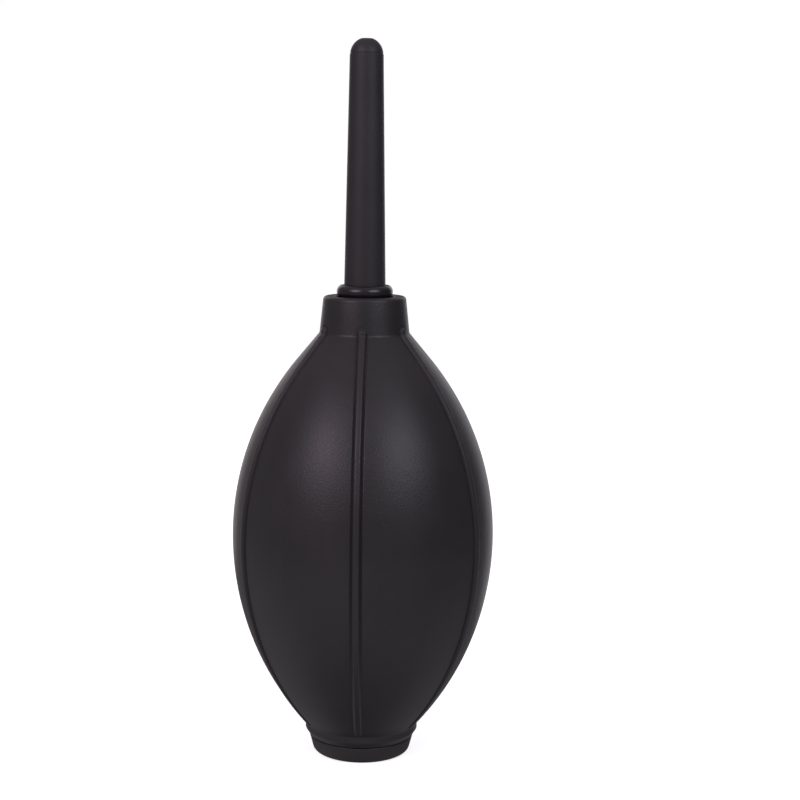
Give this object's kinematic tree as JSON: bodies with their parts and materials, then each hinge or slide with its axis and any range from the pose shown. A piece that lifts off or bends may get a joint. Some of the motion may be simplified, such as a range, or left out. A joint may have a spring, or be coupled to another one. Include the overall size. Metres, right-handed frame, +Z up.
{
  "type": "dust blower bulb",
  "caption": "Ribbed spindle-shaped silicone squeeze bulb with a soft bending nozzle on top and a one-way air inlet in its flat base.",
  "frame": {"origin": "centre of the base plug's resting face", "axes": "+Z up along the bulb and nozzle, -Y the front, where one rib runs; the pressed walls face -X and +X"},
  "size_m": [0.0566, 0.058, 0.1549],
  "materials": {
    "bulb_silicone": "matte moulded silicone with a fine skin texture",
    "nozzle_silicone": "matte soft moulded silicone",
    "ferrule_plastic": "polished black plastic",
    "plug_plastic": "matte black moulded plastic",
    "valve_silicone": "soft translucent grey silicone",
    "cage_plastic": "matte black moulded plastic",
    "filter_felt": "pale felt pad"
  },
  "bodies": {
    "bulb": {"bulb_shell": "bulb_silicone", "base_plug": "plug_plastic", "valve_cage": "cage_plastic", "dust_filter": "filter_felt", "intake_grille": "cage_plastic"},
    "left_wall": {"left_grip_wall": "bulb_silicone"},
    "right_wall": {"right_grip_wall": "bulb_silicone"},
    "valve_disc": {"inlet_valve_disc": "valve_silicone"},
    "nozzle_root": {"neck_ferrule": "ferrule_plastic", "nozzle_foot": "nozzle_silicone"},
    "nozzle_link_1": {"nozzle_link_1": "nozzle_silicone"},
    "nozzle_link_2": {"nozzle_link_2": "nozzle_silicone"},
    "nozzle_link_3": {"nozzle_link_3": "nozzle_silicone"},
    "nozzle_link_4": {"nozzle_link_4": "nozzle_silicone"},
    "nozzle_link_5": {"nozzle_link_5": "nozzle_silicone"},
    "nozzle_link_6": {"nozzle_link_6": "nozzle_silicone"},
    "nozzle_link_7": {"nozzle_link_7": "nozzle_silicone"},
    "nozzle_link_8": {"nozzle_link_8": "nozzle_silicone"},
    "nozzle_link_9": {"nozzle_link_9": "nozzle_silicone"},
    "nozzle_tip": {"nozzle_tip": "nozzle_silicone"}
  },
  "joints": [
    {"name": "left_squeeze", "type": "slide", "parent": "bulb", "child": "left_wall", "axis": [1, 0, 0], "range_m": [0, 0.01], "stiffness_N_per_m": 1200},
    {"name": "right_squeeze", "type": "slide", "parent": "bulb", "child": "right_wall", "axis": [-1, 0, 0], "range_m": [0, 0.01], "stiffness_N_per_m": 1200},
    {"name": "inlet_valve_lift", "type": "slide", "parent": "bulb", "child": "valve_disc", "axis": [0, 0, 1], "range_m": [0, 0.0013]},
    {"name": "nozzle_swivel", "type": "hinge", "parent": "bulb", "child": "nozzle_root", "pos_m": [0, 0, 0.1], "axis": [0, 0, 1], "continuous": true},
    {"name": "nozzle_bend_1", "type": "hinge", "parent": "nozzle_root", "child": "nozzle_link_1", "pos_m": [0, 0, 0.1084], "axis": [0, 1, 0], "range_deg": [-15.65, 15.65], "stiffness_Nm_per_rad": 0.36},
    {"name": "nozzle_bend_2", "type": "hinge", "parent": "nozzle_link_1", "child": "nozzle_link_2", "pos_m": [0, 0, 0.11275], "axis": [0, 1, 0], "range_deg": [-15.16, 15.16]},
    {"name": "nozzle_bend_3", "type": "hinge", "parent": "nozzle_link_2", "child": "nozzle_link_3", "pos_m": [0, 0, 0.1171], "axis": [0, 1, 0], "range_deg": [-14.51, 14.51]},
    {"name": "nozzle_bend_4", "type": "hinge", "parent": "nozzle_link_3", "child": "nozzle_link_4", "pos_m": [0, 0, 0.12145], "axis": [0, 1, 0], "range_deg": [-13.69, 13.69]},
    {"name": "nozzle_bend_5", "type": "hinge", "parent": "nozzle_link_4", "child": "nozzle_link_5", "pos_m": [0, 0, 0.1258], "axis": [0, 1, 0], "range_deg": [-12.67, 12.67]},
    {"name": "nozzle_bend_6", "type": "hinge", "parent": "nozzle_link_5", "child": "nozzle_link_6", "pos_m": [0, 0, 0.13015], "axis": [0, 1, 0], "range_deg": [-11.42, 11.42]},
    {"name": "nozzle_bend_7", "type": "hinge", "parent": "nozzle_link_6", "child": "nozzle_link_7", "pos_m": [0, 0, 0.1345], "axis": [0, 1, 0], "range_deg": [-9.9, 9.9]},
    {"name": "nozzle_bend_8", "type": "hinge", "parent": "nozzle_link_7", "child": "nozzle_link_8", "pos_m": [0, 0, 0.13885], "axis": [0, 1, 0], "range_deg": [-8.07, 8.07]},
    {"name": "nozzle_bend_9", "type": "hinge", "parent": "nozzle_link_8", "child": "nozzle_link_9", "pos_m": [0, 0, 0.1432], "axis": [0, 1, 0], "range_deg": [-5.87, 5.87]},
    {"name": "nozzle_bend_10", "type": "hinge", "parent": "nozzle_link_9", "child": "nozzle_tip", "pos_m": [0, 0, 0.14755], "axis": [0, 1, 0], "range_deg": [-3.24, 3.24]}
  ],
  "couplings": [
    {"joint": "nozzle_bend_2", "follows": "nozzle_bend_1", "ratio": 0.9675},
    {"joint": "nozzle_bend_3", "follows": "nozzle_bend_1", "ratio": 0.9257},
    {"joint": "nozzle_bend_4", "follows": "nozzle_bend_1", "ratio": 0.8732},
    {"joint": "nozzle_bend_5", "follows": "nozzle_bend_1", "ratio": 0.8081},
    {"joint": "nozzle_bend_6", "follows": "nozzle_bend_1", "ratio": 0.7284},
    {"joint": "nozzle_bend_7", "follows": "nozzle_bend_1", "ratio": 0.6314},
    {"joint": "nozzle_bend_8", "follows": "nozzle_bend_1", "ratio": 0.5144},
    {"joint": "nozzle_bend_9", "follows": "nozzle_bend_1", "ratio": 0.3738},
    {"joint": "nozzle_bend_10", "follows": "nozzle_bend_1", "ratio": 0.2056}
  ]
}
